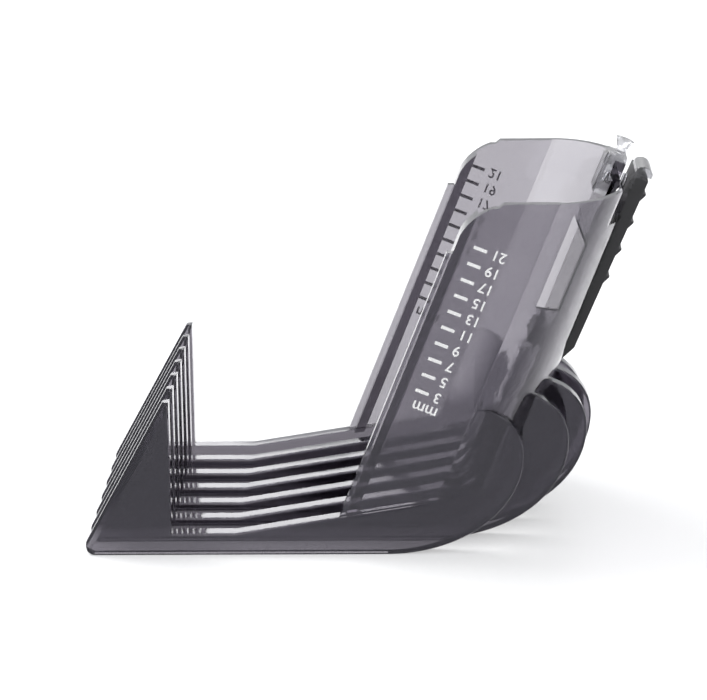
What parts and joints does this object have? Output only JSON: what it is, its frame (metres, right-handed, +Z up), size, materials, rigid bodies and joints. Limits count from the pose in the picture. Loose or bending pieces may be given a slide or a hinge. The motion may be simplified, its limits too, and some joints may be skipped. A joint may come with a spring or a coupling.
{
  "type": "clipper guard comb",
  "caption": "Adjustable hair clipper guard comb with tooth plates, a raked cradle with guide rails, and a sprung length selector rocker.",
  "frame": {"origin": "middle of the bounding box, at the plane that the tooth plates stand on", "axes": "+X from the tooth tips to the heel, +Y across the teeth, +Z up"},
  "size_m": [0.0716, 0.0418, 0.049],
  "materials": {
    "smoke_plastic": "translucent violet-grey, moulded gloss",
    "black_plastic": "satin, fine moulded grain",
    "clear_plastic": "clear, moulded gloss",
    "spring_steel": "drawn wire",
    "white_ink": "pad-printed ink"
  },
  "bodies": {
    "comb": {"tooth_plate_1": "smoke_plastic", "tooth_plate_2": "smoke_plastic", "tooth_plate_3": "smoke_plastic", "tooth_plate_4": "smoke_plastic", "tooth_plate_5": "smoke_plastic", "tooth_plate_6": "smoke_plastic", "tooth_plate_7": "smoke_plastic", "left_side_wall": "smoke_plastic", "right_side_wall": "smoke_plastic", "left_guide_rail": "smoke_plastic", "right_guide_rail": "smoke_plastic", "left_back_corner": "smoke_plastic", "right_back_corner": "smoke_plastic", "selector_housing": "smoke_plastic", "pivot_pin": "spring_steel", "return_spring": "spring_steel", "stop_lug": "clear_plastic", "left_scale_marks": "white_ink", "right_scale_marks": "white_ink"},
    "button": {"selector_button": "black_plastic", "button_end_cap": "clear_plastic"}
  },
  "joints": [
    {"name": "button_press", "type": "hinge", "parent": "comb", "child": "button", "pos_m": [0.02702, 0, 0.03046], "axis": [0, -1, 0], "range_deg": [0, 4], "stiffness_Nm_per_rad": 0.25, "springref_deg": -5.16, "deforming": ["return_spring"]}
  ]
}
